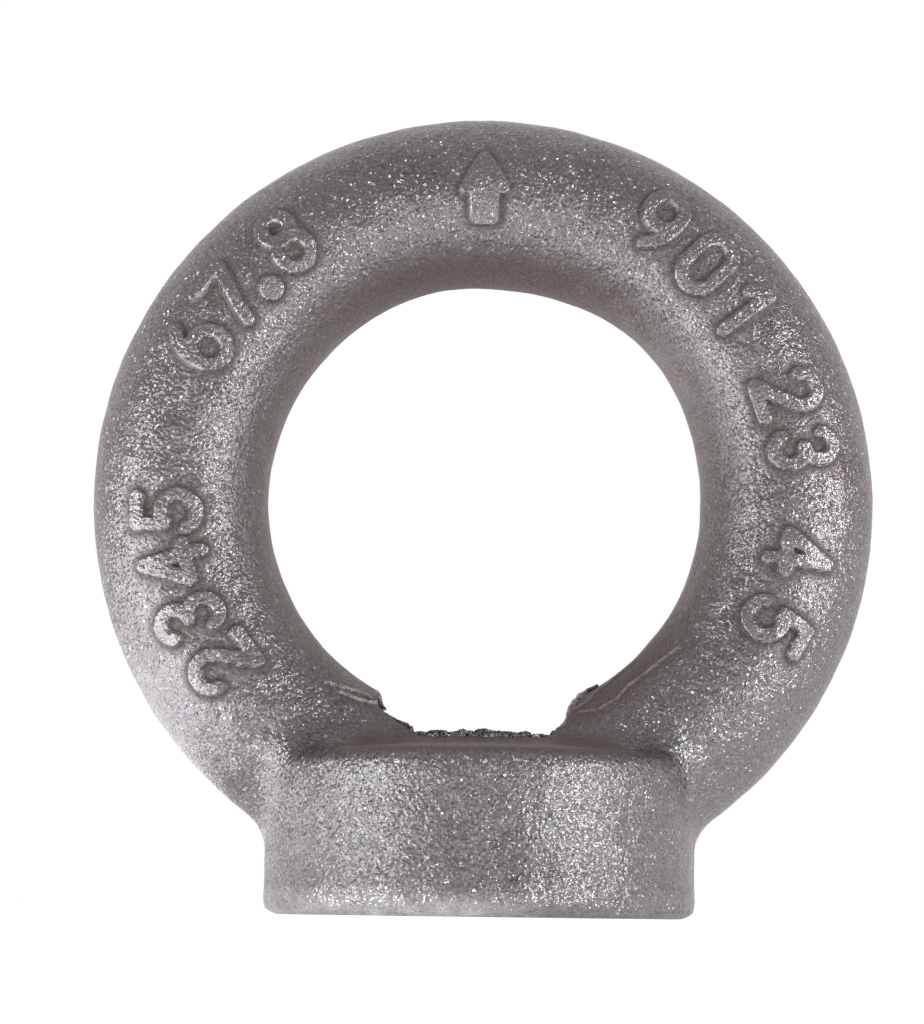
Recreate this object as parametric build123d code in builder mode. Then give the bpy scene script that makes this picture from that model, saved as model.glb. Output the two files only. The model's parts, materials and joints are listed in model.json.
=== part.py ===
from build123d import *

import os
from math import radians, tan

# Lifting eye nut for an M20 stud, drop forged in one piece: a collar with a tapped bore, and a
# round ring that grows out of its shoulder. Millimetres, +Z up. The origin is on the thread's
# axis, in the plane of the seat. The ring lies in the XZ plane, where the dies part.

# Ring
eye_diameter = 40.0
section_diameter = 16.0  # the bar that the ring is made of
crest_height = 3.7  # from the collar's outer edge up to the lowest point of the eye

# Collar
collar_diameter = 39.0
collar_height = 14.3  # from the seat to the shoulder's outer edge
shoulder_slope = 5.5  # degrees, rising from the outer edge towards the bore
shoulder_edge_radius = 1.8
seat_edge_radius = 1.2

# Blend between the ring and the collar
root_radius = 4.0

# Thread
thread_diameter = 20.0
thread_pitch = 2.5
countersink_diameter = 22.0
countersink_angle = 120.0

# What follows from them
bore_diameter = thread_diameter - 1.0825 * thread_pitch  # the minor diameter of a coarse thread
collar_radius = collar_diameter / 2
bore_radius = bore_diameter / 2
shoulder_peak_height = collar_height + collar_radius * tan(radians(shoulder_slope))
eye_centre_height = collar_height + crest_height + eye_diameter / 2
bar_centre_radius = (eye_diameter + section_diameter) / 2
eye_axis = Axis((0, 0, eye_centre_height), (0, 1, 0))

with BuildPart() as eye_nut:
    # The collar is turned about the thread's axis. Its shoulder is a shallow cone.
    with BuildSketch(Plane.XZ) as collar_profile:
        with BuildLine():
            Polyline(
                (0, 0),
                (collar_radius, 0),
                (collar_radius, collar_height),
                (0, shoulder_peak_height),
                close=True,
            )
        make_face()
        shoulder_corner = collar_profile.vertices().group_by(Axis.X)[-1].sort_by(Axis.Y)[-1]
        fillet(shoulder_corner, shoulder_edge_radius)
    revolve(axis=Axis.Z)

    # The ring is the bar turned about the eye's axis. Its lowest stretch is sunk in the collar.
    with BuildSketch(Plane.YZ) as ring_profile:
        with Locations((0, eye_centre_height + bar_centre_radius)):
            Circle(section_diameter / 2)
    revolve(axis=eye_axis)

    # One generous fillet runs all round where the ring leaves the collar: over the shoulder in
    # front, down the collar's side under the ring, and back over the shoulder behind.
    root_edges = eye_nut.edges(Select.NEW).filter_by(GeomType.BSPLINE)
    fillet(root_edges, root_radius)

    # The seat is faced flat, and its outer edge is broken by a small radius.
    split(bisect_by=Plane.XY, keep=Keep.TOP)
    seat = eye_nut.faces().sort_by(Axis.Z)[0]
    fillet(seat.outer_wire().edges(), seat_edge_radius)

    # The thread's bore is drilled from the seat and breaks out through the crest into the eye.
    with Locations(-Plane.XY):
        CounterSinkHole(
            radius=bore_radius,
            counter_sink_radius=countersink_diameter / 2,
            counter_sink_angle=countersink_angle,
            depth=eye_centre_height,
        )

eye_nut.part.label = "eye_nut"

os.makedirs("parts", exist_ok=True)
export_step(eye_nut.part, "parts/eye_nut.step")
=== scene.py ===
# %% [markdown]
# # A drop-forged lifting eye nut
# The nut is one piece of steel: a ring that a hook goes through, on a short collar that screws onto
# a stud. It was hammered hot between two dies, trimmed, blasted clean with steel shot and tapped, and
# it was never painted. The solid from the CAD model has its exact form, and this lesson gives that
# form a forged skin: raised marks, torn metal where tools broke through, a cut thread and grain.
# All lengths are in metres, as in the CAD frame, so three millimetres is written as 3 * MM.

import json
import math
from collections import Counter
from math import cos, pi, radians, sin

import bpy
from mathutils import Matrix, Vector, noise

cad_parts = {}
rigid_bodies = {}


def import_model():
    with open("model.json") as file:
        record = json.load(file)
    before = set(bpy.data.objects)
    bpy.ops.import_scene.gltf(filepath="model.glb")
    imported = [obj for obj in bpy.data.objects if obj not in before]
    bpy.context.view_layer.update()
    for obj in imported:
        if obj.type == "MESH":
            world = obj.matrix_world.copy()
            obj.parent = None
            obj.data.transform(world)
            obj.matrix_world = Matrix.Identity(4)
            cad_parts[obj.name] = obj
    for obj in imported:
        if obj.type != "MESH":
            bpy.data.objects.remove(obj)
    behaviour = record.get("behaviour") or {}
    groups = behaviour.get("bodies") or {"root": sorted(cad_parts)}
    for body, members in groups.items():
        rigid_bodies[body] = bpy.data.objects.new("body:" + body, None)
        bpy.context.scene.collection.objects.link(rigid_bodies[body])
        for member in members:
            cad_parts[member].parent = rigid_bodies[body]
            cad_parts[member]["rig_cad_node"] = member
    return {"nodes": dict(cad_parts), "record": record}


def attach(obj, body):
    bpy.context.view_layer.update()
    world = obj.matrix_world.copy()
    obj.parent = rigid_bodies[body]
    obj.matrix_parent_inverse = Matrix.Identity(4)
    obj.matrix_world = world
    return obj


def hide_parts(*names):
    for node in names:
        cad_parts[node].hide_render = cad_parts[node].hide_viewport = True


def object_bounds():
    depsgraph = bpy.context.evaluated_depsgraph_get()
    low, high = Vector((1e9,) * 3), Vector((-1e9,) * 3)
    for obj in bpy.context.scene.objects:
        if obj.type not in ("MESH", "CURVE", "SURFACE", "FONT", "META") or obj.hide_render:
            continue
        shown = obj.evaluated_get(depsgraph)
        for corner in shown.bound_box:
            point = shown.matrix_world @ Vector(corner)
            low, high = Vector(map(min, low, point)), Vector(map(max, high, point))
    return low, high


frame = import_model()
cad_box = [list(corner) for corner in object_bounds()]
cad_nut = frame["nodes"]["eye_nut"]
mounts = {mount["name"]: mount for mount in frame["record"]["mounts"]}

MM = 0.001
print("CAD box in mm:", [[round(c / MM, 2) for c in corner] for corner in cad_box])

# %% [markdown]
# ## The few sizes that place everything
# The eye's centre and radius and the bore's radius come from the nut's own record, and the ring's
# outer radius is half the width of the CAD box. The bar of the ring is as thick as the difference of
# its two radii. The skin, the marks and the thread are placed from these values.

# %% Read the driving sizes
eye_radius = mounts["eye"]["dims"]["r_mm"] * MM
eye_centre = Vector(mounts["eye"]["pos_m"])
bore_radius = mounts["thread"]["dims"]["r_mm"] * MM
ring_radius = (cad_box[1][0] - cad_box[0][0]) / 2
bar_radius = (ring_radius - eye_radius) / 2
bar_centre = (ring_radius + eye_radius) / 2
print("ring", round(ring_radius / MM, 2), "bar", round(bar_radius / MM, 2), "mm in radius")

# %% [markdown]
# ## Picking up a piece
# An operator works on whatever is selected, and loading the frame leaves the CAD nodes selected. So
# before each step everything is let go, and one piece is taken in hand. Modifiers are used up one
# after the other, because the next step needs the mesh that they leave.

# %% Helpers for picking up a piece
def take(piece):
    bpy.ops.object.select_all(action="DESELECT")
    piece.select_set(True)
    bpy.context.view_layer.objects.active = piece


def edit(piece, select="SELECT"):
    take(piece)
    bpy.ops.object.mode_set(mode="EDIT")
    bpy.ops.mesh.select_all(action=select)


def leave_edit():
    bpy.ops.object.mode_set(mode="OBJECT")


def apply_modifiers(piece):
    take(piece)
    for name in [modifier.name for modifier in piece.modifiers]:
        bpy.ops.object.modifier_apply(modifier=name)


def settle(piece):
    """Leaves the object at the origin, unturned and unscaled, with its place in its mesh."""
    take(piece)
    bpy.ops.object.transform_apply(location=True, rotation=True, scale=True)


def triangles(piece):
    return sum(len(face.vertices) - 2 for face in piece.data.polygons)


# %% [markdown]
# ## The camera
# A catalogue picture of such a nut is taken from low down and fairly close, so that the shoulder of
# the collar just hides and the ring looks round. The camera stands a quarter of a metre away, a hair
# above the table, and looks up by about eight degrees. Turning a camera takes three steps: yaw, then
# the tilt from straight down to the horizon, then a small roll, and they are easiest to read as
# three rotation matrices.

# %% Set up the camera
camera_place = Vector((-5.27 * MM, -250 * MM, 0.4 * MM))
camera_yaw = -0.0131
camera_pitch = 0.1451
camera_roll = -0.0138
bpy.ops.object.select_all(action="DESELECT")
bpy.ops.object.camera_add()
camera = bpy.context.active_object
camera.name = "camera"
camera.data.lens = 96.2
camera.data.clip_start = 1 * MM
camera.data.clip_end = 20
camera.matrix_world = (
    Matrix.Translation(camera_place)
    @ Matrix.Rotation(camera_yaw, 4, "Z")
    @ Matrix.Rotation(pi / 2 + camera_pitch, 4, "X")
    @ Matrix.Rotation(-camera_roll, 4, "Z")
)
bpy.context.scene.camera = camera
print("camera", round(camera_place.length / MM), "mm from the nut")

# %% [markdown]
# ## Wiring shaders
# A material is a net of small nodes. Made one call at a time, even a simple net runs to pages, so a
# few helpers make a node, fill its sockets and give back the output that is wanted. Wherever a helper
# takes a value, that can be a number or the output of another node. The ones here fill a socket, make
# a sum, and make a soft step, which turns a value into a mask.

# %% Helpers for sums and soft steps
def fill(tree, socket, value):
    """Sets a socket to a number, or links it to another node's output."""
    if isinstance(value, (int, float, tuple)):
        socket.default_value = value
    elif value is not None:
        tree.links.new(value, socket)


def math_node(tree, operation, first, second=None, third=None):
    node = tree.nodes.new("ShaderNodeMath")
    node.operation = operation
    for socket, value in zip(node.inputs, (first, second, third)):
        fill(tree, socket, value)
    return node.outputs["Value"]


def soft_step(tree, value, low, high, bottom=0.0, top=1.0):
    """Goes smoothly from bottom to top while the value goes from low to high."""
    node = tree.nodes.new("ShaderNodeMapRange")
    node.interpolation_type = "SMOOTHSTEP"
    for name, number in (("From Min", low), ("From Max", high), ("To Min", bottom), ("To Max", top)):
        node.inputs[name].default_value = number
    tree.links.new(value, node.inputs["Value"])
    return node.outputs["Result"]


# %% [markdown]
# ## The table and the light
# The nut stands on a plain white table. The table glows a little, and the camera sees it brighter
# than the steel does. With light alone it could only be made white by lamps so strong that they wash
# the metal out. It lies a hair under the seat, so that the two faces don't flicker into each other.

# %% Lay the table
bpy.ops.object.select_all(action="DESELECT")
bpy.ops.mesh.primitive_plane_add(size=6, location=(0, 0, -0.02 * MM))
table = bpy.context.active_object
table.name = "table"

white_table = bpy.data.materials.new("white_table")
white_table.use_nodes = True
tree = white_table.node_tree
shader = tree.nodes["Principled BSDF"]
shader.inputs["Base Color"].default_value = (0.8, 0.8, 0.8, 1)
shader.inputs["Roughness"].default_value = 0.85
shader.inputs["Emission Color"].default_value = (1, 1, 1, 1)
seen_by_camera = tree.nodes.new("ShaderNodeLightPath").outputs["Is Camera Ray"]
glow = math_node(tree, "MULTIPLY_ADD", seen_by_camera, 0.41, 0.30)
tree.links.new(glow, shader.inputs["Emission Strength"])
table.data.materials.append(white_table)
print("table:", round(table.dimensions.x), "m wide")

# %% [markdown]
# A white room surrounds the table. The camera sees it as plain white, but it lights the steel less
# than that, and it is darker in front than behind. A Light Path node tells the two apart. Steel shows
# mostly what it mirrors, so this gradient is what models the roundness of the ring.

# %% Build the room
room = bpy.data.worlds.new("white_room")
bpy.context.scene.world = room
room.use_nodes = True
tree = room.node_tree
tree.nodes.clear()
axes = tree.nodes.new("ShaderNodeSeparateXYZ")
tree.links.new(tree.nodes.new("ShaderNodeTexCoord").outputs["Generated"], axes.inputs["Vector"])
back_wall = soft_step(tree, axes.outputs["Y"], -0.4, 0.8, 0.40, 0.79)
ceiling = soft_step(tree, axes.outputs["Z"], 0.0, 0.6, 1.0, 0.94)
lighting = tree.nodes.new("ShaderNodeBackground")
lighting.inputs["Color"].default_value = (1, 0.965, 0.96, 1)
tree.links.new(math_node(tree, "MULTIPLY", back_wall, ceiling), lighting.inputs["Strength"])
plain_white = tree.nodes.new("ShaderNodeBackground")
plain_white.inputs["Color"].default_value = (1, 1, 1, 1)
choose = tree.nodes.new("ShaderNodeMixShader")
tree.links.new(tree.nodes.new("ShaderNodeLightPath").outputs["Is Camera Ray"], choose.inputs["Fac"])
tree.links.new(lighting.outputs["Background"], choose.inputs[1])
tree.links.new(plain_white.outputs["Background"], choose.inputs[2])
room_output = tree.nodes.new("ShaderNodeOutputWorld")
tree.links.new(choose.outputs["Shader"], room_output.inputs["Surface"])
bpy.context.scene.view_settings.view_transform = "Standard"
print("room:", len(tree.nodes), "nodes")

# %% [markdown]
# Two soft boxes stand low at the left and right, a little in front, and a card beside the nut throws
# some light up under the ring. Low light is what makes forged skin readable: it rakes over the ring,
# so each grain has a bright side and a dark one. A lamp straight above would flatten it.

# %% Set the soft boxes
def soft_box(name, place, target, width, tall, brightness):
    """A soft box at a place in metres, aimed at a target. Its power follows from its brightness."""
    bpy.ops.object.light_add(type="AREA", location=place)
    lamp = bpy.context.active_object
    lamp.name = name
    lamp.data.shape = "RECTANGLE"
    lamp.data.size = width
    lamp.data.size_y = tall
    lamp.data.energy = brightness * pi * width * tall
    lamp.data.color = (0.93, 0.97, 1.0)
    lamp.visible_camera = False
    aim = Vector(target) - Vector(place)
    lamp.rotation_euler = aim.to_track_quat("-Z", "Y").to_euler()
    print(name, round(lamp.data.energy, 3), "W")


soft_box("soft_box_left", (-0.37, -0.19, 0.03), (0, 0, 0.03), 0.14, 0.12, 6.5)
soft_box("soft_box_right", (0.33, -0.26, 0.08), (0, 0, 0.03), 0.10, 0.13, 11)
soft_box("bounce_card_left", (-0.17, 0.0, 0.001), (-0.17, 0.0, 1), 0.26, 0.34, 1.15)

# %% [markdown]
# ## The forged body
# The CAD mesh is a set of long facets, which is fine for a lathe drawing but can't be dented or
# embossed. So a copy is merged into one closed skin and rebuilt with a voxel remesh, which lays small
# even squares over the whole form. It could be subdivided instead, but long facets only split into
# more long facets. The squares are about half a millimetre wide, and the stretches that need more
# are subdivided later. The CAD node itself stays as it is.

# %% Give the body an even skin
skin_size = 0.58 * MM
take(cad_nut)
bpy.ops.object.duplicate()
body = bpy.context.active_object
body.name = "forged_body"
del body["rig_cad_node"]
edit(body)
bpy.ops.mesh.remove_doubles(threshold=0.001 * MM)
leave_edit()
remesh = body.modifiers.new("even_skin", "REMESH")
remesh.mode = "VOXEL"
remesh.voxel_size = skin_size
apply_modifiers(body)
print("body skin:", triangles(body), "triangles")

# %% [markdown]
# ## The eye as the trimming punch left it
# A forging leaves the dies with a thin web of flash across its eye, and a punch shears the web out.
# The punch never runs quite true, so it bites a little into the bar on one side and leaves a little
# standing on the other. Here the vertices of the eye's wall are moved in or out from the eye's axis,
# each by how far round it lies from the few places where the punch bit. It could be sculpted, but a
# short list of bites is easier to change. The stretch over the bore is left alone.

# %% Shape the wall of the eye
# turn in degrees, depth in mm, reach to either side in degrees
punch_bites = [(46, 0.80, 21), (104, 0.30, 14), (160, -0.24, 24), (200, -0.12, 20)]
over_the_bore = (235, 305)


def punch_shift(turn):
    """How far the eye's wall is moved out, in metres, at a turn in degrees from +X towards +Z."""
    return sum(depth * 2 ** -(((turn - place) / spread) ** 2) for place, depth, spread in punch_bites) * MM


def shape_eye(piece):
    moved = 0
    for vertex in piece.data.vertices:
        out = Vector((vertex.co.x, 0, vertex.co.z)) - eye_centre
        inside = max(0.0, (bar_centre - out.length) / bar_radius)
        if out.length < 1 * MM or inside <= 0:
            continue
        turn = math.degrees(math.atan2(out.z, out.x)) % 360
        if over_the_bore[0] < turn < over_the_bore[1]:
            continue
        vertex.co += out.normalized() * punch_shift(turn) * min(1.0, inside) ** 2
        moved += 1
    return moved


print("eye wall shaped:", shape_eye(body), "vertices")

# %% [markdown]
# ## The trimmed parting line
# Round the outside of the ring the flash is sheared off in one stroke. The cut leaves a narrow flat
# land where the two die halves met, about two millimetres wide. Nothing has to be drawn for it: every
# vertex that lies outside the trimming tool's round opening is brought back to it.

# %% Trim the outside of the ring
trim_depth = 0.06 * MM
trimmed = 0
for vertex in body.data.vertices:
    out = Vector((vertex.co.x, 0, vertex.co.z)) - eye_centre
    over = out.length - (ring_radius - trim_depth)
    if over > 0 and vertex.co.z > 20 * MM:
        vertex.co -= out.normalized() * over
        trimmed += 1
print("trimmed:", trimmed, "vertices")

# %% [markdown]
# Hot steel never fills the dies evenly, and the shot beats the skin about. So the whole body gets
# shallow swells a few millimetres wide, which break up the reflections of the soft boxes. A Displace
# modifier makes them from a Clouds texture. They only go inwards, and a vertex group keeps the seat
# and its edge flat.

# %% Give the skin its swells
swell_depth = 0.15 * MM
swells = body.vertex_groups.new(name="swells")
for vertex in body.data.vertices:
    above_seat = min(1.0, max(0.0, (vertex.co.z - 1.2 * MM) / (2 * MM)))
    swells.add([vertex.index], above_seat, "REPLACE")
clouds = bpy.data.textures.new("swells", "CLOUDS")
clouds.noise_scale = 3.2 * MM
clouds.noise_depth = 2
swell = body.modifiers.new("swells", "DISPLACE")
swell.texture = clouds
swell.texture_coords = "LOCAL"
swell.vertex_group = "swells"
swell.mid_level = 1.0
swell.strength = swell_depth
apply_modifiers(body)
print("swells:", round(swell_depth / MM, 2), "mm deep at most")

# %% [markdown]
# ## Raised characters
# The dies carry engraved marks, so the forging carries raised ones: plain numerals counted round the
# ring, tops outwards, and an arrow at the crown that shows the direction of lift. A die sinker cuts
# each stroke with a round cutter, so every stroke has one width and round ends. That is why a numeral
# is drawn here as the path of the cutter, in straight runs and arcs, and not as a printed letter.
# Each figure below is one unit high and stands about its own middle.

# %% Draw the numerals as cutter paths
def run(*points):
    """Straight cuts from point to point."""
    return [Vector((x, y, 0)) for x, y in points]


def arc(centre, radius, start, end):
    """A round cut from one turn to another, in degrees, in steps of about fifteen."""
    steps = max(2, round(abs(end - start) / 15))
    turns = [radians(start + (end - start) * step / steps) for step in range(steps + 1)]
    return [Vector((centre[0] + radius * cos(turn), centre[1] + radius * sin(turn), 0)) for turn in turns]


six = [arc((0, -0.2), 0.3, 180, 540), arc((0.45, -0.2), 0.75, 180, 118)]
figures = {
    "0": [arc((0, 0.2), 0.3, 0, 180) + arc((0, -0.2), 0.3, 180, 360) + run((0.3, 0.2))],
    "1": [run((-0.2, 0.28), (0.06, 0.5), (0.06, -0.5))],
    "2": [arc((0, 0.22), 0.28, 170, -38) + run((-0.3, -0.5), (0.3, -0.5))],
    "3": [arc((0, 0.26), 0.24, 155, -90) + arc((0, -0.24), 0.26, 90, -155)],
    "4": [run((0.14, -0.5), (0.14, 0.5), (-0.3, -0.2), (0.32, -0.2))],
    "5": [run((0.26, 0.5), (-0.2, 0.5), (-0.24, 0.04)) + arc((-0.03, -0.2), 0.3, 125, -150)],
    "6": six,
    "7": [run((-0.3, 0.5), (0.3, 0.5), (-0.1, -0.5))],
    "8": [arc((0, 0.26), 0.24, 0, 360), arc((0, -0.24), 0.28, 0, 360)],
    "9": [[-point for point in stroke] for stroke in six],
}
print("figures drawn:", len(figures))

# %% [markdown]
# Each numeral is set upright in front of the ring at its own turn. Its height is that of the path, so
# the finished figure is taller by one stroke's width.

# %% Set one path on the ring
stroke_width = 1.45 * MM
path_height = 5.3 * MM
marks_front = -(bar_radius + 1 * MM)


def wire(strokes, name):
    """Open paths as one curve object, made a mesh of edges."""
    curve = bpy.data.curves.new(name, "CURVE")
    curve.dimensions = "3D"
    for stroke in strokes:
        spline = curve.splines.new("POLY")
        spline.points.add(len(stroke) - 1)
        for point, place in zip(spline.points, stroke):
            point.co = (*place, 1)
    path = bpy.data.objects.new(name, curve)
    bpy.context.scene.collection.objects.link(path)
    take(path)
    bpy.ops.object.convert(target="MESH")
    return bpy.context.active_object


def place_on_ring(piece, turn, out, lean=0):
    """Turns a flat mark so that its top points outwards at a turn in degrees, out from the eye."""
    swing = radians(turn)
    piece.matrix_world = (
        Matrix.Translation(eye_centre + Vector((out * cos(swing), marks_front, out * sin(swing))))
        @ Matrix.Rotation(pi / 2 - swing - radians(lean), 4, "Y")
        @ Matrix.Rotation(pi / 2, 4, "X")
    )
    settle(piece)


def numeral(figure, turn, out, lean):
    mark = wire(figures[figure], "numeral_" + figure)
    mark.data.transform(Matrix.Scale(path_height, 4))
    place_on_ring(mark, turn, out, lean)
    return mark


# %% [markdown]
# The numerals count on round the ring, with a gap at the crown for the arrow. Each leans a little,
# because a die sinker sets the punches by eye.

# %% Set all the numerals
# figure, turn in degrees, distance from the eye's axis in mm, lean in degrees
count_round = [
    ("2", 215.0, 28.2, 2), ("3", 205.0, 28.8, -2), ("4", 195.0, 28.6, 1), ("5", 185.0, 28.6, -3),
    ("6", 154.0, 29.0, 6), ("7", 144.0, 29.0, -2), ("8", 129.5, 29.0, 2),
    ("9", 57.6, 29.2, 3), ("0", 46.4, 28.8, -2), ("1", 35.6, 28.6, 2),
    ("2", 18.4, 28.6, 0), ("3", 8.2, 28.8, 2),
    ("4", -10.9, 28.6, 4), ("5", -24.8, 28.6, -4),
]
marks = [numeral(figure, turn, out * MM, lean) for figure, turn, out, lean in count_round]
print("numerals:", len(marks))

# %% [markdown]
# The arrow is a wide head on a short shaft, and the point between two numerals is a small disc. They
# are cut as areas, so they are flat faces: primitives with few corners, overlapped like paper shapes,
# because only their common outline matters.

# %% Set the arrow and the point
def flat_shape(corners, radius, turn, out, stretch=(1, 1), spin=0):
    bpy.ops.object.select_all(action="DESELECT")
    bpy.ops.mesh.primitive_circle_add(vertices=corners, radius=radius, fill_type="NGON")
    shape = bpy.context.active_object
    shape.data.transform(Matrix.Diagonal((*stretch, 1, 1)) @ Matrix.Rotation(radians(spin), 4, "Z"))
    place_on_ring(shape, turn, out)
    return shape


def join(parts, name):
    bpy.ops.object.select_all(action="DESELECT")
    for part in parts:
        part.select_set(True)
    bpy.context.view_layer.objects.active = parts[0]
    bpy.ops.object.join()
    joined = bpy.context.active_object
    joined.name = name
    return joined


marks.append(flat_shape(3, 2.02 * MM, 90.9, 28.5 * MM, (0.94, 0.9)))
marks.append(flat_shape(4, 1.9 * MM, 90.9, 26.35 * MM, (0.56, 1.02), 45))
marks.append(flat_shape(12, 0.55 * MM, 137.5, 26.6 * MM))
outlines = join(marks, "mark_outlines")
edit(outlines)
bpy.ops.mesh.quads_convert_to_tris()
bpy.ops.mesh.subdivide(number_cuts=4)
leave_edit()
press = outlines.modifiers.new("press_on", "SHRINKWRAP")
press.wrap_method = "PROJECT"
press.target = cad_nut
press.use_project_y = True
press.use_positive_direction = True
press.use_negative_direction = False
apply_modifiers(outlines)
print("mark outlines:", len(outlines.data.edges), "edges")

# %% [markdown]
# ## The lines left by the trimming punch
# Where the web was sheared out of the eye, the metal rolled over in low ragged ridges, and they show
# best on both sides of the bore, where the tap later tore through. One runs along the flank of the
# bar and one along the wall of the eye. They are drawn as paths too, by their turn round the eye,
# their distance from its axis and how far they stand in front of the parting plane.

# %% Draw the trimming ridges
def ridge_path(stations):
    """A smooth path through (turn in degrees, distance from the eye's axis in mm) on the front."""
    points = []
    for (turn, out), (next_turn, next_out) in zip(stations, stations[1:]):
        for step in range(6):
            share = step / 6
            here = radians(turn + (next_turn - turn) * share)
            away = (out + (next_out - out) * share) * MM
            wander = noise.noise(Vector((here * 45, away / MM, 0))) * 0.16 * MM
            depth = bar_centre - away
            front = -math.sqrt(max(0.0, bar_radius**2 - depth**2))
            away += wander
            points.append(eye_centre + Vector((away * cos(here), front, away * sin(here))))
    return points


ridges = wire(
    [
        ridge_path([(-38, 22.3), (-44, 21.8), (-53, 21.65), (-57, 22.0), (-62, 22.0), (-67, 21.4)]),
        ridge_path([(-47, 20.26), (-53, 20.27), (-59, 20.45), (-64, 20.9), (-68, 21.1)]),
        ridge_path([(231, 22.3), (235, 21.7), (238, 21.25), (242.5, 21.0)]),
        ridge_path([(235, 22.2), (239, 21.9), (242, 21.6), (244.5, 21.1)]),
    ],
    "trimming_ridges",
)
print("ridge paths:", len(ridges.data.edges), "edges")

# %% [markdown]
# ## Pressing the marks out of the skin
# A Vertex Weight Proximity modifier gives each vertex of the body a weight by its distance from the
# paths: full near a path, falling to nothing at the edge of the stroke. Here the weights only find
# the patches of skin that need smaller squares. The marks could also be solids of their own, joined
# on with a Boolean, but their feet would be sharp, and hot steel never flows into a sharp corner.

# %% Measure how near the skin is to the marks
def near(piece, group, target, full, none):
    """Weights a vertex group from 1, within full of the target, to 0, at none or further."""
    fresh = piece.vertex_groups.get(group) or piece.vertex_groups.new(name=group)
    fresh.add(range(len(piece.data.vertices)), 1.0, "REPLACE")
    measure = piece.modifiers.new("nearness", "VERTEX_WEIGHT_PROXIMITY")
    measure.vertex_group = group
    measure.target = target
    measure.proximity_mode = "GEOMETRY"
    measure.proximity_geometry = {"EDGE", "FACE"} if target.data.polygons else {"EDGE"}
    measure.max_dist = full
    measure.min_dist = none
    measure.falloff_type = "SMOOTH"
    apply_modifiers(piece)


def group_weights(piece, group):
    index = piece.vertex_groups[group].index
    return [sum(g.weight for g in v.groups if g.group == index) for v in piece.data.vertices]


def refine(piece, wanted, cuts):
    """Subdivides the faces for which wanted is true, and counts them."""
    edit(piece, "DESELECT")
    bpy.ops.mesh.select_mode(type="FACE")
    leave_edit()
    for face in piece.data.polygons:
        face.select = wanted(face)
    chosen = sum(face.select for face in piece.data.polygons)
    bpy.ops.object.mode_set(mode="EDIT")
    bpy.ops.mesh.subdivide(number_cuts=cuts)
    leave_edit()
    return chosen


def weighs_in(piece, group):
    """Gives a test for faces that have any weight in a group."""
    weights = group_weights(piece, group)
    return lambda face: max(weights[vertex] for vertex in face.vertices) > 0.01


near(body, "raised", outlines, 0.6 * MM, 0.75 * MM)
print("refined", refine(body, weighs_in(body, "raised"), 3), "squares under the marks")
near(body, "torn", ridges, 0.4 * MM, 0.5 * MM)
print("refined", refine(body, weighs_in(body, "torn"), 3), "squares under the ridges")
print("body skin:", triangles(body), "triangles")

# %% [markdown]
# The weights are now measured again on the finer skin, and a Displace modifier lifts each vertex by
# its weight. So the marks grow out of the body with soft feet and rounded tops, as forged ones do. A
# second group notes the ground beside the marks, which the finish needs later.

# %% Raise the marks and the ridges
def lift(piece, group, height):
    rise = piece.modifiers.new("lift_" + group, "DISPLACE")
    rise.vertex_group = group
    rise.mid_level = 0
    rise.strength = height
    apply_modifiers(piece)


near(body, "raised", outlines, stroke_width / 2 - 0.22 * MM, stroke_width / 2 + 0.1 * MM)
lift(body, "raised", 0.62 * MM)
near(body, "beside", outlines, stroke_width / 2 + 0.1 * MM, stroke_width / 2 + 0.9 * MM)
near(body, "torn", ridges, 0.02 * MM, 0.24 * MM)
lift(body, "torn", 0.24 * MM)
bpy.data.objects.remove(outlines)
bpy.data.objects.remove(ridges)
print("marks lifted over", sum(weight > 0.5 for weight in group_weights(body, "raised")), "vertices")

# %% [markdown]
# ## Smaller squares on the crest
# The crest is the low saddle of the ring that the bore breaks through. Its torn edges are finer than
# the squares of the skin, so the squares there are divided first. They could be made small all over
# instead, but the body would then have millions of them for the sake of one square centimetre.

# %% Refine the crest
def on_crest(face):
    place = face.center
    return 14.5 * MM < place.z < 26 * MM and place.xy.length < 11 * MM and face.normal.z > 0.1


print("refined", refine(body, on_crest, 2), "squares of the crest")

# %% [markdown]
# ## The tap
# The nut is tapped through from its seat. A tap is a screw with cutting edges, and the thread that it
# leaves is its own form taken away from the bore. The thread could be drawn as a bump on the wall,
# but it would show no teeth at the mouth. So a tap is made as a solid: one tooth's outline is turned
# round the axis by a Screw modifier, which climbs one pitch a turn, and its ends are closed. The
# tooth is that of a coarse metric thread, with flanks sixty degrees apart, a flat of a quarter pitch
# at the bore and one of an eighth at the root.

# %% Make the tap
thread_pitch = 2.5 * MM
minor_radius = bore_radius + 0.05 * MM
major_radius = bore_radius + 0.5413 * thread_pitch
crest_flat = thread_pitch / 4
root_flat = thread_pitch / 8
flank_rise = (thread_pitch - crest_flat - root_flat) / 2
tap_start = -2 * thread_pitch
tap_turns = 7

tooth = [
    Vector((minor_radius, 0, tap_start)),
    Vector((minor_radius, 0, tap_start + crest_flat)),
    Vector((major_radius, 0, tap_start + crest_flat + flank_rise)),
    Vector((major_radius, 0, tap_start + crest_flat + flank_rise + root_flat)),
    Vector((minor_radius, 0, tap_start + thread_pitch)),
]
tap = wire([tooth], "tap")
climb = tap.modifiers.new("climb", "SCREW")
climb.axis = "Z"
climb.screw_offset = thread_pitch
climb.iterations = tap_turns
climb.steps = 72
climb.render_steps = 72
apply_modifiers(tap)
edit(tap)
bpy.ops.mesh.remove_doubles(threshold=0.002 * MM)
bpy.ops.mesh.fill_holes(sides=0)
bpy.ops.mesh.select_all(action="SELECT")
bpy.ops.mesh.normals_make_consistent(inside=False)
leave_edit()
tap_top = max(vertex.co.z for vertex in tap.data.vertices)
print("tap:", triangles(tap), "triangles, reaching", round(tap_top / MM, 1), "mm")

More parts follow.
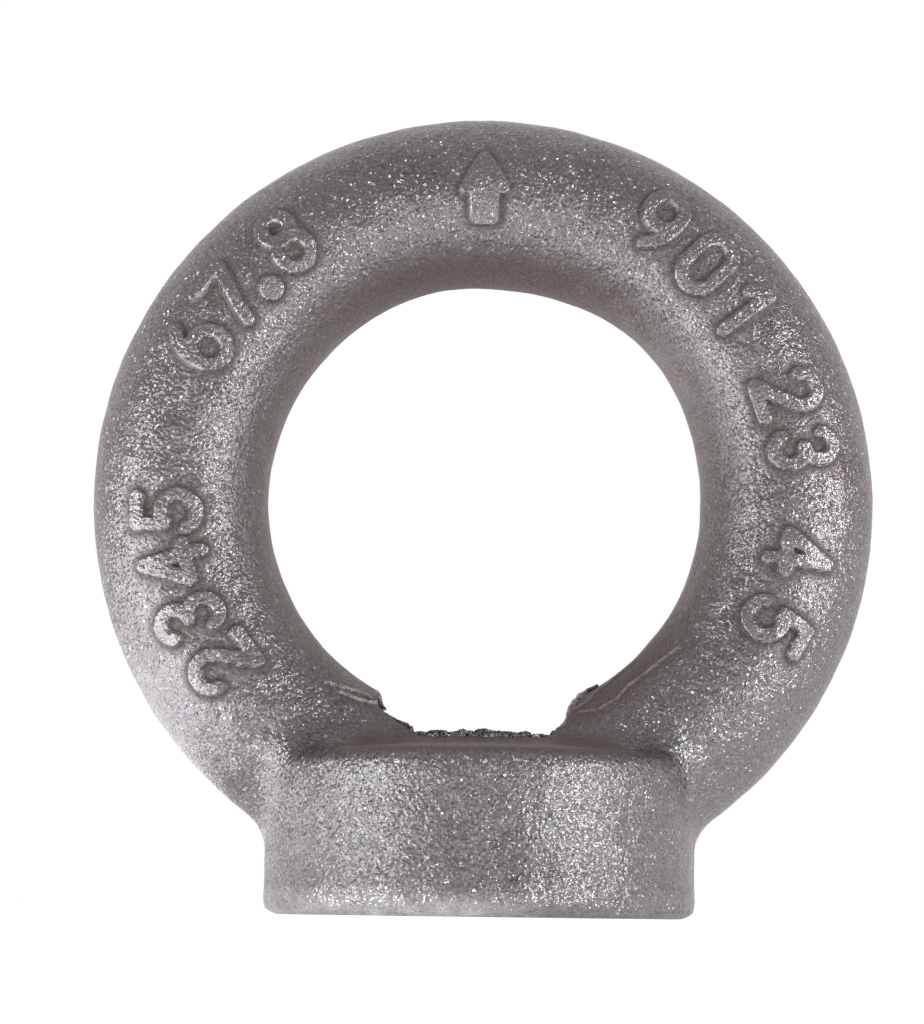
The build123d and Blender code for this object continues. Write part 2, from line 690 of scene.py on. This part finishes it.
# %% [markdown]
# ## The reamer
# A plain cylinder opens the bore before the tap goes in. It is a hair wider than the bore of the CAD
# solid and than the tap's core, because two surfaces that lie on each other leave a Boolean unsure
# which is outside. Above the last turn of the thread it leaves the smooth wall of the bore, where the
# real tap has worn the teeth away as it broke through the slanting crest.

# %% Make the reamer
reamer_radius = minor_radius + 0.06 * MM
bpy.ops.object.select_all(action="DESELECT")
bpy.ops.mesh.primitive_cylinder_add(
    vertices=144,
    radius=reamer_radius,
    depth=32 * MM,
    location=(0, 0, 15 * MM),
)
reamer = bpy.context.active_object
reamer.name = "reamer"
settle(reamer)

# %% [markdown]
# ## The countersink
# The mouth of the bore is broken by a cone, so that a stud finds its way in and no burr lifts the
# nut off its load. The cone opens at 120 degrees, so for each millimetre down it widens by the
# tangent of half of that. It starts below the seat, or the seat would keep a skin over the mouth.

# %% Make the countersink
mouth_radius = 11.03 * MM
cone_top_radius = 8 * MM
mouth_slope = math.tan(radians(60))
cone_low = -1 * MM
cone_high = (mouth_radius - cone_top_radius) / mouth_slope
bpy.ops.object.select_all(action="DESELECT")
bpy.ops.mesh.primitive_cone_add(
    vertices=96,
    radius1=mouth_radius - cone_low * mouth_slope,
    radius2=cone_top_radius,
    depth=cone_high - cone_low,
    location=(0, 0, (cone_high + cone_low) / 2),
)
countersink = bpy.context.active_object
countersink.name = "countersink"
settle(countersink)
print("countersink:", round(cone_high / MM, 2), "mm deep")

# %% [markdown]
# ## Cutting the bore
# Each tool is taken away from the body by a Boolean modifier. Bright cut metal looks nothing like
# forged skin, so it needs a material of its own, and it would be tedious to find its faces later. So
# each cutter carries the material, and the modifier's material mode hands it on to the faces that it
# cuts. A body that is still closed afterwards has no open edge, which is worth counting every time.

# %% Cut the bore
forged_steel = bpy.data.materials.new("forged_steel")
cut_steel = bpy.data.materials.new("cut_steel")
body.data.materials.clear()
body.data.materials.append(forged_steel)


def cut_away(piece, cutter):
    cutter.data.materials.clear()
    cutter.data.materials.append(cut_steel)
    boolean = piece.modifiers.new("cut", "BOOLEAN")
    boolean.operation = "DIFFERENCE"
    boolean.solver = "EXACT"
    boolean.material_mode = "TRANSFER"
    boolean.object = cutter
    apply_modifiers(piece)
    bpy.data.objects.remove(cutter)


def open_edges(piece):
    """Edges that don't join exactly two faces. A closed skin has none."""
    faces_on_edge = Counter(key for face in piece.data.polygons for key in face.edge_keys)
    return sum(count != 2 for count in faces_on_edge.values())


cut_away(body, reamer)
cut_away(body, countersink)
cut_away(body, tap)
print("body after tapping:", triangles(body), "triangles,", open_edges(body), "open edges")

# %% [markdown]
# The seat is faced on a lathe, so it is cut metal too. The rebuilt skin may stand a hair below it, so
# every vertex is brought up to the plane of the seat first. The seat's faces are then the ones that
# look straight down in that plane, and whatever the countersink left standing beside its mouth.

# %% Face the seat
for vertex in body.data.vertices:
    vertex.co.z = max(0.0, vertex.co.z)
seat_faces = 0
for face in body.data.polygons:
    faced = face.normal.z < -0.99 and face.center.z < 0.02 * MM
    at_mouth = face.center.z < 2 * MM and face.center.xy.length < mouth_radius + skin_size
    if faced or at_mouth:
        face.material_index = body.data.materials.find("cut_steel")
        seat_faces += 1
print("seat:", seat_faces, "faces")

# %% [markdown]
# ## The crest, knocked about
# Drill and tap work the crest over as they break through. In front and behind they draw its rim up a
# little. At the left they knock the wall of the eye down to a low slope with a hooked corner, and at
# the right only a short notch is gone. This is done after the cut: vertices near the bore are moved
# straight up or down, so the cut edge goes with them and the skin stays closed. The slope that they
# are knocked down to is the floor of a round trough, so it rises away from the bore.

# %% Knock the crest about
def rise_between(value, low, high):
    """Goes smoothly from 0, at low or less, to 1, at high or more."""
    share = min(1.0, max(0.0, (value - low) / (high - low)))
    return share * share * (3 - 2 * share)


# all in mm
crest_low = 14
crest_high = 26
draw_height = 0.65
floor_radius = 14
floor_centre = 28.96
far_side_right = 7.3
far_side_left = 9.2

knocked_vertices = 0
for vertex in body.data.vertices:
    across, deep, high = vertex.co / MM
    from_axis = math.hypot(across, deep)
    if high < crest_low or high > crest_high or from_axis > 12:
        continue
    aside = abs(across)
    drawn_up = draw_height * (1 - rise_between(from_axis, 8.7, 11.5))
    drawn_up *= rise_between(high, crest_low, 15.5) * (1 - rise_between(aside, 7.0, 7.6))
    floor = floor_centre - math.sqrt(floor_radius**2 - min(aside, 13) ** 2)
    far_side = far_side_right if across > 0 else far_side_left
    knocked = rise_between(aside, 5.5, 6.5) * (1 - rise_between(aside, far_side, far_side + 0.3))
    drop = max(0.0, high + drawn_up - floor) * knocked
    vertex.co.z += (drawn_up - drop) * MM
    knocked_vertices += drop > 0.1
print("crest knocked down at", knocked_vertices, "vertices")

# %% [markdown]
# ## The torn lip of the bore
# The last of the metal isn't cut but torn and pushed up into a ragged lip, highest in front and
# behind, and the lip is coloured nearly black. It could be noise on the body's edge, but an edge has
# no thickness to tear. So a ring of edges is dropped onto the rim with a Shrinkwrap modifier, which
# follows every hollow of the crest, and is pulled up into a ribbon of six rings.

# %% Make the torn lip
bpy.ops.object.select_all(action="DESELECT")
bpy.ops.mesh.primitive_circle_add(vertices=288, radius=minor_radius + 0.2 * MM, location=(0, 0, eye_centre.z))
lip = bpy.context.active_object
lip.name = "torn_lip"
settle(lip)
lay = lip.modifiers.new("lay_on_rim", "SHRINKWRAP")
lay.wrap_method = "PROJECT"
lay.target = body
lay.use_project_z = True
lay.use_positive_direction = False
lay.use_negative_direction = True
apply_modifiers(lip)
rim = len(lip.data.vertices)
ribbon_levels = 5
level_step = 0.1 * MM
edit(lip)
for level in range(ribbon_levels):
    bpy.ops.mesh.extrude_edges_move(TRANSFORM_OT_translate={"value": (0, 0, level_step)})
leave_edit()
print("lip rings:", len(lip.data.vertices) // rim)

# %% [markdown]
# The ribbon is then shaped by how high the lip stands at each turn round the bore, with noise for the
# tears. Noise is read at the turn and not at the place, so a tear runs through all the rings. The
# ribbon starts half a millimetre under the rim, where nobody sees that it is a piece of its own, and
# a Solidify modifier gives it the thickness of the torn metal.

# %% Shape the torn lip
# turn in degrees from the front towards the right, height in mm
lip_stations = [
    (-180, 0.45), (-110, 0.1), (-75, 0.08), (-55, 0.2), (-40, 0.4), (-20, 0.6), (12, 0.6), (34, 0.45),
    (44, 0.08), (110, 0.05), (180, 0.45),
]


def lip_height(turn):
    for (start, low), (end, high) in zip(lip_stations, lip_stations[1:]):
        if turn <= end:
            return low + (high - low) * (turn - start) / (end - start)
    return lip_stations[-1][1]


for vertex in lip.data.vertices:
    ring = vertex.index // rim
    level = ring / ribbon_levels
    turn = math.degrees(math.atan2(vertex.co.x, -vertex.co.y))
    ragged = noise.noise(Vector((turn / 6, level * 1.5, 0))) * 0.5
    ragged += noise.noise(Vector((turn / 2, 3, 0))) * 0.25
    height = lip_height(turn) * max(0.2, 1 + ragged)
    inwards = Vector((-vertex.co.x, -vertex.co.y, 0)).normalized()
    vertex.co.z += (-0.5 + level * (0.5 + height)) * MM - ring * level_step
    vertex.co += inwards * 0.14 * noise.noise(Vector((turn / 4, level * 3, 7))) * MM
thick = lip.modifiers.new("thickness", "SOLIDIFY")
thick.thickness = 0.3 * MM
thick.offset = 0
apply_modifiers(lip)
print("lip:", triangles(lip), "triangles")

# %% [markdown]
# ## Two rolled burrs
# At both ends of the knocked-down stretch the metal is rolled over into a burr that lies against the
# wall of the eye. A burr is a bead that starts thin, swells and ends thin. A curve with a round bevel
# makes one, because each of its points has its own radius. It is then turned into a mesh and dented
# with noise, because a bead that keeps a perfect round reads as a weld. Vector noise starts from the
# clock if nobody gives it a seed, so it gets one, and every run makes the same dents.

# %% Roll the burrs over
noise.seed_set(7)


def rolled_burr(name, stations):
    """A bead along (x, y, z, radius) stations in mm."""
    curve = bpy.data.curves.new(name, "CURVE")
    curve.dimensions = "3D"
    curve.bevel_depth = 1 * MM
    curve.bevel_resolution = 4
    curve.resolution_u = 10
    curve.use_fill_caps = True
    spline = curve.splines.new("NURBS")
    spline.points.add(len(stations) - 1)
    spline.use_endpoint_u = True
    spline.order_u = 3
    for point, (x, y, z, radius) in zip(spline.points, stations):
        point.co = (x * MM, y * MM, z * MM, 1)
        point.radius = radius
    bead = bpy.data.objects.new(name, curve)
    bpy.context.collection.objects.link(bead)
    take(bead)
    bpy.ops.object.convert(target="MESH")
    bead = bpy.context.active_object
    for vertex in bead.data.vertices:
        vertex.co += noise.noise_vector(vertex.co / (0.9 * MM)) * 0.16 * MM
    bead.data.materials.append(forged_steel)
    return bead


burr_left = rolled_burr(
    "rolled_burr_left",
    [
        (-8.7, -4.1, 18.2, 0.1), (-9.1, -3.3, 19.0, 0.24), (-9.55, -1.7, 19.85, 0.32),
        (-9.7, 0.0, 20.1, 0.3), (-9.5, 1.6, 19.8, 0.26), (-9.2, 2.8, 19.2, 0.2), (-8.8, 3.9, 18.3, 0.1),
    ],
)
burr_right = rolled_burr(
    "rolled_burr_right",
    [
        (7.6, -4.5, 17.2, 0.2), (7.85, -3.9, 18.0, 0.36), (8.3, -2.9, 18.9, 0.42),
        (8.9, -1.5, 19.7, 0.42), (9.7, -0.7, 20.4, 0.34), (10.6, -0.4, 21.0, 0.14),
    ],
)
print("burrs:", triangles(burr_left) + triangles(burr_right), "triangles")

# %% [markdown]
# ## Where scale, wear, streaks and painted light and shade lie
# The finish changes over the body, and a shader can't find those places by itself. They could be
# painted as an image, but a number for each vertex is enough on so fine a skin, and it moves with the
# mesh. So four attributes are written down, each from 0 to 1:
#
# - rubbed: the tops of the marks, which slide against other steel
# - scale_and_shade: brown scale and painted shade on the shoulder, in the corner under the eye, on
#   its inner wall and round the feet of the marks, with the corner and the wall darker on the right
# - streaked: the wall of the eye and the parting line, where the trimming tools slid past
# - bare_and_highlight: bright bare metal on the ridges and the rims of the marks, painted highlights
#   on those rims, and a painted reflection of the table along the collar's lower edge, stronger at the left

# %% Measure the brown scale and painted shade of a place
# heights above the seat and distances from the eye's axis, in mm
shade_top = 26
wall_reach = 24.5


def from_eye(place):
    """The distance from the eye's axis, in mm."""
    return (Vector((place.x, 0, place.z)) - eye_centre).length / MM


def rightwards(place):
    """0 on the left of the nut, 1 on its right."""
    return rise_between(place.x / MM, -4, 8)


def scale_and_shade_at(vertex):
    """How much brown scale and painted shade a vertex gets, from 0 to 1."""
    height = vertex.co.z / MM
    aside = abs(vertex.co.x) / MM
    in_from_wall = wall_reach - from_eye(vertex.co)
    right = rightwards(vertex.co)
    # painted shade along with brown scale: faces that look up on the shoulder, the corner under the eye and
    # the eye's inner wall are darkened, the corner and the wall more on the right
    shoulder = rise_between(vertex.normal.z, 0.35, 0.9) * rise_between(shade_top - height, 0, 8)
    shoulder *= 1 - 0.75 * rise_between(aside, 10, 14)
    corner = rise_between(shade_top + 1 - height, 0, 9) * rise_between(in_from_wall, 0, 3)
    corner *= 0.35 + 0.65 * right
    low_right = right * rise_between(30 - height, 0, 8)
    inner_wall = rise_between(in_from_wall, 0, 3.5)
    inner_wall *= 0.6 + 0.4 * max(low_right, rise_between(height, 50, 60))
    return max(shoulder, corner, inner_wall)


# %% [markdown]
# The marks were lifted by weights from 0 to 1, and the same weights now say where a vertex lies on a
# mark: at full weight it is on the flat top, and between half and full it is on the rim, which gets a
# painted highlight. Noise breaks up the bare metal, because wear never follows an edge all the way,
# and the painted highlights with it.

# %% Note the finish of each place
def note(piece, name, values):
    attribute = piece.data.attributes.new(name, "FLOAT", "POINT")
    attribute.data.foreach_set("value", values)
    print(name, "over", sum(value > 0.5 for value in values), "vertices")


tops = group_weights(body, "raised")
ground = group_weights(body, "beside")
torn = group_weights(body, "torn")
scale_and_shade = []
streaked = []
bare_and_highlight = []
for vertex, top, beside, ridge in zip(body.data.vertices, tops, ground, torn):
    place = vertex.co
    # the ground round the feet of the marks gets brown scale and a painted dark outline of shade
    scale_and_shade.append(max(scale_and_shade_at(vertex), 0.85 * beside * (1 - top)))
    across_bar = abs(from_eye(place) * MM - bar_centre) / bar_radius
    flat_wall = rise_between(across_bar, 0.93, 0.985) * rise_between(4 - abs(place.y) / MM, 0, 1)
    streaked.append(flat_wall)
    # bare metal on the ridges, with painted highlights on the rims of the marks and a painted reflection of
    # the white table along the collar's lower edge, brighter at the left
    broken_up = noise.noise(place / (1.2 * MM)) * 0.4 + 0.6
    rim_wear_and_highlight = rise_between(top, 0.45, 0.75) * (1 - rise_between(top, 0.85, 1.0))
    painted_table_reflection = rise_between(3.0 - place.z / MM, 0, 2.4) * (1 - 0.8 * rightwards(place))
    bare_and_highlight.append(broken_up * max(0.6 * ridge, 0.7 * rim_wear_and_highlight, 1.4 * painted_table_reflection))
note(body, "rubbed", tops)
note(body, "scale_and_shade", scale_and_shade)
note(body, "streaked", streaked)
note(body, "bare_and_highlight", bare_and_highlight)

# %% [markdown]
# ## Tools for the steel
# Effects that several materials share are put in node groups, and a group's sockets are made on its
# interface. The steels are built from a few more kinds of node: sums of vectors, blotches of a size
# that is given in metres, and mixes of two colours. Patterns read Object coordinates, so they stay
# where they are on the metal, whatever the camera does.

# %% Helpers for groups, patterns and colours
FLOAT = "NodeSocketFloat"
COLOR = "NodeSocketColor"
VECTOR = "NodeSocketVector"


def new_group(name, inputs, outputs):
    """An empty shader node group with named sockets. Each input is given as (name, kind, value)."""
    group = bpy.data.node_groups.new(name, "ShaderNodeTree")
    for socket, kind, value in inputs:
        made = group.interface.new_socket(name=socket, in_out="INPUT", socket_type=kind)
        made.default_value = value
    for socket, kind in outputs:
        group.interface.new_socket(name=socket, in_out="OUTPUT", socket_type=kind)
    return group, group.nodes.new("NodeGroupInput"), group.nodes.new("NodeGroupOutput")


def vector_node(tree, operation, first, second=None, scale=None):
    node = tree.nodes.new("ShaderNodeVectorMath")
    node.operation = operation
    fill(tree, node.inputs[0], first)
    if second is not None:
        fill(tree, node.inputs[1], second)
    if scale is not None:
        fill(tree, node.inputs["Scale"], scale)
    return node.outputs["Value" if operation == "LENGTH" else "Vector"]


def object_place(tree):
    return tree.nodes.new("ShaderNodeTexCoord").outputs["Object"]


def blotches(tree, size, detail, place=None):
    """Smooth random blotches, from 0 to 1."""
    node = tree.nodes.new("ShaderNodeTexNoise")
    node.inputs["Scale"].default_value = 1 / size
    node.inputs["Detail"].default_value = detail
    tree.links.new(place or object_place(tree), node.inputs["Vector"])
    return node.outputs["Fac"]


def mix_colours(tree, share, first, second, blend="MIX"):
    node = tree.nodes.new("ShaderNodeMix")
    node.data_type = "RGBA"
    node.blend_type = blend
    for socket, value in ((0, share), (6, first), (7, second)):
        fill(tree, node.inputs[socket], value)
    return node.outputs[2]


# %% [markdown]
# ## The facets of blasted steel
# After forging, the nut is blasted with steel shot, which knocks the scale off and leaves a skin of
# tiny dents. Each dent mirrors its own bit of the room, so the surface glitters in small cells. A
# noise bump alone can't do that, because its slopes run into each other and only look rough. So a
# Voronoi texture cuts the surface into cells with bent borders, and each cell leans its normal its
# own way: most of them a little, and a few of them far. The group also gives out each cell's chance,
# a random number that other effects can pick cells by.

# %% Build the facets group
facets, facets_in, facets_out = new_group(
    "blasted_facets",
    [("Size", FLOAT, 0.2 * MM), ("Tilt", FLOAT, 0.4)],
    [("Normal", VECTOR), ("Chance", FLOAT)],
)
cells_per_metre = math_node(facets, "DIVIDE", 1.0, facets_in.outputs["Size"])
scaled = vector_node(facets, "SCALE", object_place(facets), scale=cells_per_metre)
waver = facets.nodes.new("ShaderNodeTexNoise")
waver.inputs["Scale"].default_value = 0.7
waver.inputs["Detail"].default_value = 2.0
facets.links.new(scaled, waver.inputs["Vector"])
bend = vector_node(facets, "SCALE", waver.outputs["Color"], scale=1.6)
cells = facets.nodes.new("ShaderNodeTexVoronoi")
cells.inputs["Scale"].default_value = 1.0
facets.links.new(vector_node(facets, "ADD", scaled, bend), cells.inputs["Vector"])
dice = facets.nodes.new("ShaderNodeTexWhiteNoise")
facets.links.new(cells.outputs["Position"], dice.inputs["Vector"])
chance = dice.outputs["Value"]

# %% [markdown]
# The chance is raised to a high power, so that it is near nothing for most cells and near one for a
# few. Those few lean about six times as far as the rest, and catch a lamp from anywhere.

# %% Lean the facets
rarely = math_node(facets, "POWER", chance, 7.0)
reach = math_node(facets, "MULTIPLY_ADD", rarely, 3.6, 0.7)
reach = math_node(facets, "MULTIPLY", reach, facets_in.outputs["Tilt"])
lean = vector_node(facets, "SUBTRACT", cells.outputs["Color"], (0.5, 0.5, 0.5))
lean = vector_node(facets, "SCALE", lean, scale=reach)
upright = facets.nodes.new("ShaderNodeNewGeometry").outputs["Normal"]
leaning = vector_node(facets, "NORMALIZE", vector_node(facets, "ADD", upright, lean))
facets.links.new(leaning, facets_out.inputs["Normal"])
facets.links.new(chance, facets_out.inputs["Chance"])
print("facets group:", len(facets.nodes), "nodes")

# %% [markdown]
# ## The colour of forged steel
# Bare forged steel isn't one grey. It is a little purple where it cooled slowly, bluish where the
# shot polished it, brown where scale stays, and it has small rust spots and pits. The tint group lays
# these over the plain steel one after the other, each with its own mask, and adds painted shade,
# painted glints and painted highlights. The patches come first.

# %% Build the tint group
tint, tint_in, tint_out = new_group(
    "forged_tint",
    [
        ("Steel", COLOR, (0.4, 0.37, 0.37, 1)),
        ("Scale and Shade", FLOAT, 0.0),
        ("Rubbed", FLOAT, 0.0),
        ("Bare and Highlight", FLOAT, 0.0),
        ("Chance", FLOAT, 0.5),
    ],
    [("Color", COLOR)],
)
purple = soft_step(tint, blotches(tint, 7 * MM, 3.0), 0.50, 0.72, 0.0, 0.75)
bluish = soft_step(tint, blotches(tint, 3.5 * MM, 3.0), 0.52, 0.75, 0.0, 0.6)
colour = mix_colours(tint, purple, tint_in.outputs["Steel"], (0.275, 0.242, 0.248, 1))
colour = mix_colours(tint, bluish, colour, (0.37, 0.365, 0.38, 1))
patches = soft_step(tint, blotches(tint, 1.7 * MM, 2.0), 0.42, 0.58)
patch_colour = mix_colours(tint, patches, (0.36, 0.305, 0.312, 1), (0.325, 0.325, 0.335, 1))
colour = mix_colours(tint, 0.35, colour, patch_colour)
spots = soft_step(tint, blotches(tint, 1.0 * MM, 3.0), 0.55, 0.66, 0.0, 0.8)
colour = mix_colours(tint, math_node(tint, "MULTIPLY", spots, purple), colour, (0.22, 0.15, 0.14, 1))

# %% [markdown]
# Then come single grains: a few cells painted bright as glints, and a few that stay dull. After
# that three of the body's notes are laid on, with the brown scale, the painted shade and the painted
# highlights among them, then the pits, which go through everything, and last a fine grit over all.

# %% Tint the grains and the noted places
# painted glints: a few cells are painted near white, so they glint bright wherever they are
painted_glints = soft_step(tint, tint_in.outputs["Chance"], 0.86, 0.97, 0.0, 0.42)
dull = soft_step(tint, tint_in.outputs["Chance"], 0.03, 0.13, 0.45, 0.0)
colour = mix_colours(tint, painted_glints, colour, (0.86, 0.86, 0.9, 1))
colour = mix_colours(tint, dull, colour, (0.12, 0.105, 0.105, 1))
scale_and_shade_mix = math_node(tint, "MULTIPLY", tint_in.outputs["Scale and Shade"], 0.88)
rubbed_bright = math_node(tint, "MULTIPLY", tint_in.outputs["Rubbed"], 0.35)
bare_and_highlight_mix = math_node(tint, "MULTIPLY", tint_in.outputs["Bare and Highlight"], 0.9)
# brown scale and painted shade: corners, the eye's inner wall, faces that look up and the marks' feet
colour = mix_colours(tint, scale_and_shade_mix, colour, (0.135, 0.098, 0.084, 1))
colour = mix_colours(tint, rubbed_bright, colour, (0.45, 0.435, 0.445, 1))
# near white: bare metal, painted highlights on the marks' rims and a painted table reflection on the lower
# edge
colour = mix_colours(tint, bare_and_highlight_mix, colour, (0.86, 0.84, 0.83, 1))
pits = tint.nodes.new("ShaderNodeTexVoronoi")
pits.inputs["Scale"].default_value = 1 / (1.9 * MM)
tint.links.new(object_place(tint), pits.inputs["Vector"])
pit = soft_step(tint, pits.outputs["Distance"], 0.03, 0.12, 1.0, 0.0)
colour = mix_colours(tint, math_node(tint, "MULTIPLY", pit, bluish), colour, (0.05, 0.045, 0.045, 1))
grit = soft_step(tint, blotches(tint, 0.24 * MM, 2.0), 0.34, 0.62, 0.84, 1.12)
colour = mix_colours(tint, 1.0, colour, grit, "MULTIPLY")
tint.links.new(colour, tint_out.inputs["Color"])
print("tint group:", len(tint.nodes), "nodes")

# %% [markdown]
# ## A steel from its parts
# All the steels here are built alike: a metallic Principled shader, whose colour comes from the tint
# group and whose normal comes from the facets group with a fine bump on top. The facets go into the
# bump's Normal, so the bump is laid over the leaning cells and both show. Each steel has its own
# colour, roughness, depth of bump and tilt of facets, and what else sets it apart is wired after.

# %% A steel from its parts
def make_steel(material, colour, roughness, depth, tilt):
    """Wires a material and gives back its shader, tint, facets and bump nodes for finishing."""
    material.use_nodes = True
    tree = material.node_tree
    shader = tree.nodes["Principled BSDF"]
    shader.inputs["Metallic"].default_value = 1.0
    shader.inputs["Roughness"].default_value = roughness
    colouring = tree.nodes.new("ShaderNodeGroup")
    colouring.node_tree = tint
    colouring.inputs["Steel"].default_value = (*colour, 1)
    glints = tree.nodes.new("ShaderNodeGroup")
    glints.node_tree = facets
    glints.inputs["Size"].default_value = 0.2 * MM
    glints.inputs["Tilt"].default_value = tilt
    bump = tree.nodes.new("ShaderNodeBump")
    bump.inputs["Distance"].default_value = depth
    tree.links.new(colouring.outputs["Color"], shader.inputs["Base Color"])
    tree.links.new(glints.outputs["Normal"], bump.inputs["Normal"])
    tree.links.new(bump.outputs["Normal"], shader.inputs["Normal"])
    return shader, colouring, glints, bump


# %% [markdown]
# ## Forged steel
# The skin of the nut reads the body's four notes. Brown scale isn't metal, so where the scale and
# the painted shade lie the skin is less metallic and rougher as well as darker. Places with scale and
# shade, rubbed and streaked places are calmer than the rest, so their facets lean less. The bump adds
# three heights: a fine grain, broad waves that fray the edges of the highlights, and streaks. The
# streaks are blotches too, drawn out along the way that the punch went by reading the place with its
# Y pressed together.

# %% Finish the forged steel
def read_note(tree, name):
    node = tree.nodes.new("ShaderNodeAttribute")
    node.attribute_name = name
    return node.outputs["Fac"]


forged_roughness = 0.25
forged_tilt = 0.38
shader, colouring, glints, bump = make_steel(
    forged_steel, (0.36, 0.334, 0.343), forged_roughness, 0.15 * MM, forged_tilt
)
tree = forged_steel.node_tree
in_scale_and_shade = read_note(tree, "scale_and_shade")
on_top = read_note(tree, "rubbed")
in_streaks = read_note(tree, "streaked")
tree.links.new(in_scale_and_shade, colouring.inputs["Scale and Shade"])
tree.links.new(on_top, colouring.inputs["Rubbed"])
tree.links.new(read_note(tree, "bare_and_highlight"), colouring.inputs["Bare and Highlight"])
tree.links.new(glints.outputs["Chance"], colouring.inputs["Chance"])
# less metallic and rougher where the brown scale and the painted shade lie, which darkens them further
tree.links.new(math_node(tree, "MULTIPLY_ADD", in_scale_and_shade, -0.7, 1.0), shader.inputs["Metallic"])
rougher = math_node(tree, "MULTIPLY_ADD", in_scale_and_shade, 0.3, forged_roughness)
tree.links.new(rougher, shader.inputs["Roughness"])
calm = math_node(tree, "MAXIMUM", math_node(tree, "MULTIPLY", in_scale_and_shade, 0.65), in_streaks)
calm = math_node(tree, "MAXIMUM", calm, math_node(tree, "MULTIPLY", on_top, 0.6))
tree.links.new(math_node(tree, "MULTIPLY_ADD", calm, -0.6 * forged_tilt, forged_tilt), glints.inputs["Tilt"])
drawn_out = vector_node(tree, "MULTIPLY", object_place(tree), (1, 0.06, 1))
streaks = math_node(tree, "MULTIPLY", blotches(tree, 0.35 * MM, 2.0, drawn_out), in_streaks)
grain = math_node(tree, "MULTIPLY_ADD", streaks, 1.2, blotches(tree, 0.33 * MM, 2.0))
waves = math_node(tree, "MULTIPLY_ADD", blotches(tree, 2.4 * MM, 1.0), 1.8, grain)
tree.links.new(waves, bump.inputs["Height"])
print("forged steel:", len(tree.nodes), "nodes")

# %% [markdown]
# ## Cut steel
# The seat, the countersink and the thread were cut by tools that turned about one axis, so their
# marks are rings. Blotches become rings when the place is read as two numbers only, the distance from
# that axis and the height: what is the same all the way round then looks the same all the way round.

# %% Finish the cut steel
shader, colouring, glints, bump = make_steel(cut_steel, (0.55, 0.54, 0.525), 0.27, 0.16 * MM, 0.04)
tree = cut_steel.node_tree
place = object_place(tree)
from_axis = vector_node(tree, "LENGTH", vector_node(tree, "MULTIPLY", place, (1, 1, 0)))
height = tree.nodes.new("ShaderNodeSeparateXYZ")
tree.links.new(place, height.inputs["Vector"])
turned = tree.nodes.new("ShaderNodeCombineXYZ")
tree.links.new(from_axis, turned.inputs["X"])
tree.links.new(height.outputs["Z"], turned.inputs["Z"])
rings = blotches(tree, 0.35 * MM, 3.0, turned.outputs["Vector"])
tree.links.new(rings, bump.inputs["Height"])
dulled = soft_step(tree, rings, 0.35, 0.65, 0.7, 1.1)
ringed = mix_colours(tree, 1.0, colouring.outputs["Color"], dulled, "MULTIPLY")
tree.links.new(ringed, shader.inputs["Base Color"])
print("cut steel:", len(tree.nodes), "nodes")

# %% [markdown]
# ## Torn steel
# The torn lip is coloured nearly black, and its facets lean further than any others, so its points
# glint.

# %% Finish the torn steel
torn_steel = bpy.data.materials.new("torn_steel")
shader, colouring, glints, bump = make_steel(torn_steel, (0.10, 0.095, 0.09), 0.25, 0.2 * MM, 0.7)
tree = torn_steel.node_tree
tree.links.new(glints.outputs["Chance"], colouring.inputs["Chance"])
tree.links.new(blotches(tree, 0.33 * MM, 2.0), bump.inputs["Height"])
lip.data.materials.append(torn_steel)
print("materials:", [material.name for material in bpy.data.materials])

# %% [markdown]
# ## Shading, riding and replacing
# Smooth shading hides the squares of the skin, and the angle keeps real corners crisp, such as the
# teeth of the thread. Every piece rides on the nut's one body. The forged body is shown instead of the
# CAD node.

# %% Hand the pieces over
for piece in (body, lip, burr_left, burr_right):
    take(piece)
    bpy.ops.object.shade_smooth_by_angle(angle=radians(40))
    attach(piece, "root")
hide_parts("eye_nut")
